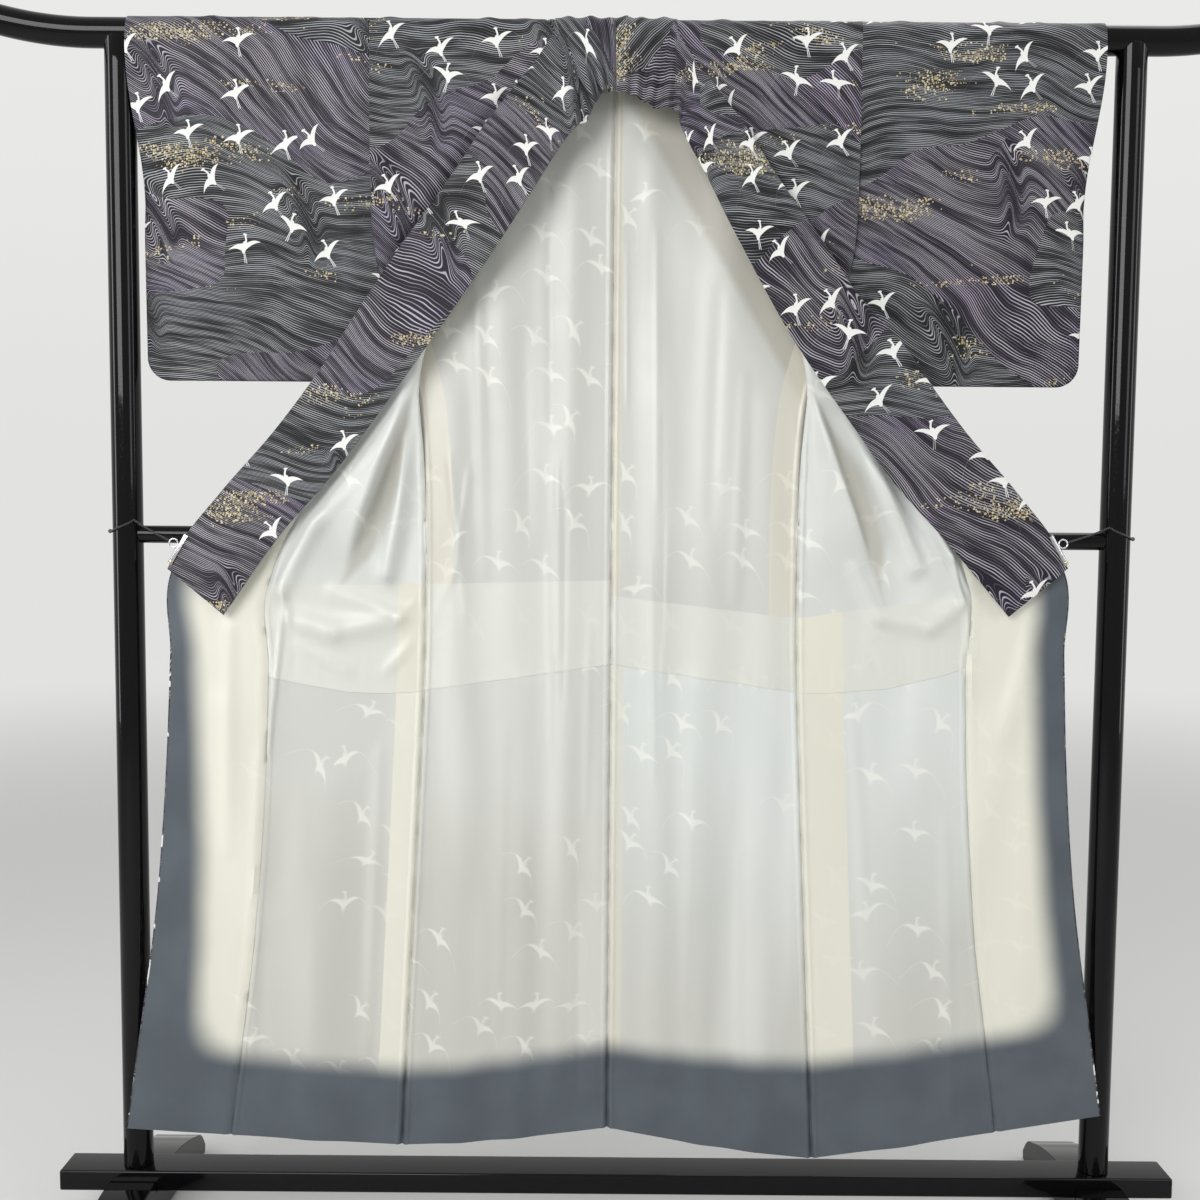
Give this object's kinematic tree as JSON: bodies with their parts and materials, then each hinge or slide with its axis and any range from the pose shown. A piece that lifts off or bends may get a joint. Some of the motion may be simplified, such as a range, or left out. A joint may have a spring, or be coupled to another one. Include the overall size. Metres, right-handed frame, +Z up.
{
  "type": "komon kimono on a kimono stand",
  "caption": "Lined patterned kimono hung over the top rail of a black lacquered stand, its fronts held open by clips to show the lining.",
  "frame": {"origin": "on the floor under the middle of the stand", "axes": "+X along the stand to the viewer's right, +Y away from the viewer who sees the lining, +Z up"},
  "size_m": [1.9104, 0.4, 1.7648],
  "materials": {
    "outer_silk": "dark purple-black figured silk with fine pale wave lines, small cranes and gold flecks",
    "upper_lining": "white lining silk, thin enough for the outer cloth to show through as grey",
    "lower_lining": "white lining silk dyed slate blue in a soft edge towards the hem and the front edges",
    "black_lacquer": "high-gloss black lacquer over wood",
    "bright_steel": "polished plated steel",
    "black_cord": "thin black braided cord"
  },
  "bodies": {
    "root": {"body_left": "outer_silk", "body_right": "outer_silk", "sleeve_left": "outer_silk", "sleeve_right": "outer_silk", "okumi_left": "outer_silk", "okumi_right": "outer_silk", "collar_left": "outer_silk", "collar_right": "outer_silk", "lining_back_upper_left": "upper_lining", "lining_back_upper_right": "upper_lining", "lining_front_upper_left": "upper_lining", "lining_front_upper_right": "upper_lining", "lining_back_lower_left": "lower_lining", "lining_back_lower_right": "lower_lining", "lining_front_lower_left": "lower_lining", "lining_front_lower_right": "lower_lining", "lining_okumi_left": "lower_lining", "lining_okumi_right": "lower_lining", "top_beam": "black_lacquer", "post_left": "black_lacquer", "post_right": "black_lacquer", "cross_bar": "black_lacquer", "base_beam": "black_lacquer", "foot_left": "black_lacquer", "foot_right": "black_lacquer", "clip_left": "bright_steel", "clip_right": "bright_steel", "tie_left": "black_cord", "tie_right": "black_cord"}
  },
  "joints": []
}
